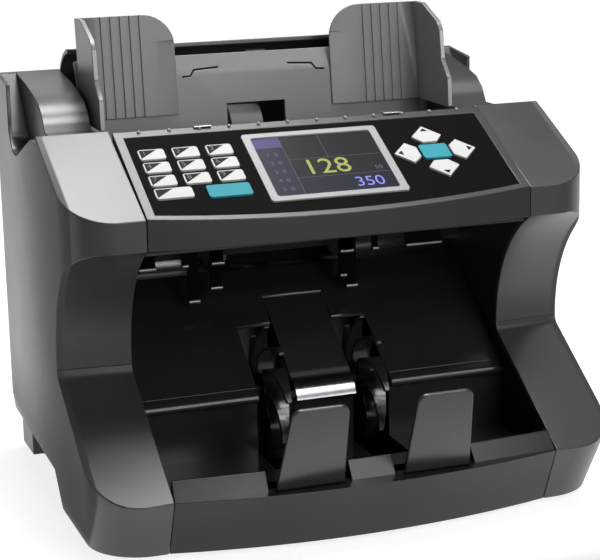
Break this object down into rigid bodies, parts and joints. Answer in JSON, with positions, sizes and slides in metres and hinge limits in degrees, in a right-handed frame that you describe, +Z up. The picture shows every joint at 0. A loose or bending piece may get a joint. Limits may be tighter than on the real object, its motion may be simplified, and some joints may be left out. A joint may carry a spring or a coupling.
{
  "type": "banknote counting machine",
  "caption": "Table-top banknote counter: hopper with sliding note guides on top, tilted key panel with display, and an open stacker pocket with vaned wheels.",
  "frame": {"origin": "on the table under the middle of the machine's bounding box", "axes": "+X to the right as seen from the front, +Y to the back, +Z up"},
  "size_m": [0.275, 0.2492, 0.2473],
  "materials": {
    "body_grey": "satin moulded",
    "dark_grey": "satin moulded",
    "mid_grey": "satin moulded",
    "black_plastic": "satin",
    "charcoal": "satin moulded",
    "black_steel": "black powder coat",
    "steel": "brushed",
    "rubber_black": "matt",
    "rubber_grey": "matt",
    "membrane": "gloss",
    "bezel_grey": "satin",
    "screen": "gloss",
    "white_key": "satin",
    "teal_key": "satin",
    "board": "solder mask",
    "bronze": "sintered"
  },
  "bodies": {
    "frame": {"base_plate": "black_plastic", "rubber_feet": "rubber_black", "left_side_cover": "body_grey", "right_side_cover": "body_grey", "control_fascia": "dark_grey", "panel_overlay": "membrane", "display_bezel": "bezel_grey", "display_screen": "screen", "panel_board": "board", "base_front": "dark_grey", "left_stop_plate": "charcoal", "right_stop_plate": "charcoal", "stacker_backplate": "black_plastic", "centre_chute": "steel", "note_path_cover": "black_plastic", "hopper_plate": "mid_grey", "guide_rail": "steel", "left_chassis": "black_steel", "right_chassis": "black_steel", "shaft_bearings": "bronze", "main_board": "board", "power_supply": "steel", "power_inlet": "black_plastic", "drive_motor": "steel", "drive_belts": "rubber_black", "note_sensors": "board", "cover_screws": "steel", "hinge_pins": "steel"},
    "left_guide": {"left_note_guide": "mid_grey"},
    "right_guide": {"right_note_guide": "mid_grey"},
    "kicker": {"kicker_shaft": "steel", "kicker_tyre": "rubber_grey", "kicker_pulley": "black_plastic"},
    "feed": {"feed_shaft": "steel", "feed_tyres": "rubber_grey", "feed_pulley": "black_plastic"},
    "stacker": {"stacker_shaft": "black_steel", "stacker_wheels": "black_plastic", "stacker_pulley": "black_plastic"},
    "motor_rotor": {"motor_pulley": "black_plastic"},
    "retard": {"retard_block": "rubber_grey"},
    "knob": {"gap_knob": "black_plastic"},
    "rear_door": {"rear_cover": "body_grey"},
    "rocker": {"power_switch": "black_plastic"},
    "digit_key_1_body": {"digit_key_1": "white_key"},
    "digit_key_2_body": {"digit_key_2": "white_key"},
    "digit_key_3_body": {"digit_key_3": "white_key"},
    "digit_key_4_body": {"digit_key_4": "white_key"},
    "digit_key_5_body": {"digit_key_5": "white_key"},
    "digit_key_6_body": {"digit_key_6": "white_key"},
    "digit_key_7_body": {"digit_key_7": "white_key"},
    "digit_key_8_body": {"digit_key_8": "white_key"},
    "digit_key_9_body": {"digit_key_9": "white_key"},
    "clear_key_body": {"clear_key": "white_key"},
    "start_key_body": {"start_key": "teal_key"},
    "arrow_up_key_body": {"arrow_up_key": "white_key"},
    "arrow_right_key_body": {"arrow_right_key": "white_key"},
    "arrow_down_key_body": {"arrow_down_key": "white_key"},
    "arrow_left_key_body": {"arrow_left_key": "white_key"},
    "centre_key_body": {"centre_key": "teal_key"}
  },
  "joints": [
    {"name": "left_guide_slide", "type": "slide", "parent": "frame", "child": "left_guide", "axis": [1, 0, 0], "range_m": [0, 0.04]},
    {"name": "right_guide_slide", "type": "slide", "parent": "frame", "child": "right_guide", "axis": [-1, 0, 0], "range_m": [0, 0.04]},
    {"name": "feed_spin", "type": "hinge", "parent": "frame", "child": "feed", "pos_m": [0, 0.03157, 0.131], "axis": [1, 0, 0], "continuous": true},
    {"name": "kicker_spin", "type": "hinge", "parent": "frame", "child": "kicker", "pos_m": [0, 0.07157, 0.181], "axis": [1, 0, 0], "continuous": true},
    {"name": "stacker_spin", "type": "hinge", "parent": "frame", "child": "stacker", "pos_m": [0, -0.02843, 0.06], "axis": [1, 0, 0], "continuous": true},
    {"name": "motor_spin", "type": "hinge", "parent": "frame", "child": "motor_rotor", "pos_m": [0, 0.07457, 0.065], "axis": [1, 0, 0], "continuous": true},
    {"name": "gap_knob_turn", "type": "hinge", "parent": "frame", "child": "knob", "pos_m": [0.0065, 0.07957, 0.213], "axis": [0, 0, 1], "range_deg": [0, 300]},
    {"name": "retard_slide", "type": "slide", "parent": "frame", "child": "retard", "axis": [0, 0.7071, 0.7071], "range_m": [0, 0.0005]},
    {"name": "rear_cover_hinge", "type": "hinge", "parent": "frame", "child": "rear_door", "pos_m": [0, 0.11257, 0.059], "axis": [-1, 0, 0], "range_deg": [0, 75]},
    {"name": "power_switch_rock", "type": "hinge", "parent": "frame", "child": "rocker", "pos_m": [0.038, 0.11157, 0.028], "axis": [-1, 0, 0], "range_deg": [0, 16]},
    {"name": "digit_key_1_press", "type": "slide", "parent": "frame", "child": "digit_key_1_body", "axis": [0, 0.4664, -0.8846], "range_m": [0, 0.0006], "stiffness_N_per_m": 400, "springref_m": -0.001},
    {"name": "digit_key_2_press", "type": "slide", "parent": "frame", "child": "digit_key_2_body", "axis": [0, 0.4664, -0.8846], "range_m": [0, 0.0006], "stiffness_N_per_m": 400, "springref_m": -0.001},
    {"name": "digit_key_3_press", "type": "slide", "parent": "frame", "child": "digit_key_3_body", "axis": [0, 0.4664, -0.8846], "range_m": [0, 0.0006], "stiffness_N_per_m": 400, "springref_m": -0.001},
    {"name": "digit_key_4_press", "type": "slide", "parent": "frame", "child": "digit_key_4_body", "axis": [0, 0.4664, -0.8846], "range_m": [0, 0.0006], "stiffness_N_per_m": 400, "springref_m": -0.001},
    {"name": "digit_key_5_press", "type": "slide", "parent": "frame", "child": "digit_key_5_body", "axis": [0, 0.4664, -0.8846], "range_m": [0, 0.0006], "stiffness_N_per_m": 400, "springref_m": -0.001},
    {"name": "digit_key_6_press", "type": "slide", "parent": "frame", "child": "digit_key_6_body", "axis": [0, 0.4664, -0.8846], "range_m": [0, 0.0006], "stiffness_N_per_m": 400, "springref_m": -0.001},
    {"name": "digit_key_7_press", "type": "slide", "parent": "frame", "child": "digit_key_7_body", "axis": [0, 0.4664, -0.8846], "range_m": [0, 0.0006], "stiffness_N_per_m": 400, "springref_m": -0.001},
    {"name": "digit_key_8_press", "type": "slide", "parent": "frame", "child": "digit_key_8_body", "axis": [0, 0.4664, -0.8846], "range_m": [0, 0.0006], "stiffness_N_per_m": 400, "springref_m": -0.001},
    {"name": "digit_key_9_press", "type": "slide", "parent": "frame", "child": "digit_key_9_body", "axis": [0, 0.4664, -0.8846], "range_m": [0, 0.0006], "stiffness_N_per_m": 400, "springref_m": -0.001},
    {"name": "clear_key_press", "type": "slide", "parent": "frame", "child": "clear_key_body", "axis": [0, 0.4664, -0.8846], "range_m": [0, 0.0006], "stiffness_N_per_m": 400, "springref_m": -0.001},
    {"name": "start_key_press", "type": "slide", "parent": "frame", "child": "start_key_body", "axis": [0, 0.4664, -0.8846], "range_m": [0, 0.0006], "stiffness_N_per_m": 400, "springref_m": -0.001},
    {"name": "arrow_up_key_press", "type": "slide", "parent": "frame", "child": "arrow_up_key_body", "axis": [0, 0.4664, -0.8846], "range_m": [0, 0.0006], "stiffness_N_per_m": 400, "springref_m": -0.001},
    {"name": "arrow_right_key_press", "type": "slide", "parent": "frame", "child": "arrow_right_key_body", "axis": [0, 0.4664, -0.8846], "range_m": [0, 0.0006], "stiffness_N_per_m": 400, "springref_m": -0.001},
    {"name": "arrow_down_key_press", "type": "slide", "parent": "frame", "child": "arrow_down_key_body", "axis": [0, 0.4664, -0.8846], "range_m": [0, 0.0006], "stiffness_N_per_m": 400, "springref_m": -0.001},
    {"name": "arrow_left_key_press", "type": "slide", "parent": "frame", "child": "arrow_left_key_body", "axis": [0, 0.4664, -0.8846], "range_m": [0, 0.0006], "stiffness_N_per_m": 400, "springref_m": -0.001},
    {"name": "centre_key_press", "type": "slide", "parent": "frame", "child": "centre_key_body", "axis": [0, 0.4664, -0.8846], "range_m": [0, 0.0006], "stiffness_N_per_m": 400, "springref_m": -0.001}
  ],
  "couplings": [
    {"joint": "kicker_spin", "follows": "feed_spin", "ratio": 1},
    {"joint": "stacker_spin", "follows": "feed_spin", "ratio": 0.61538},
    {"joint": "motor_spin", "follows": "feed_spin", "ratio": 1.5556},
    {"joint": "gap_knob_turn", "follows": "retard_slide", "rad_per_m": 10263}
  ]
}
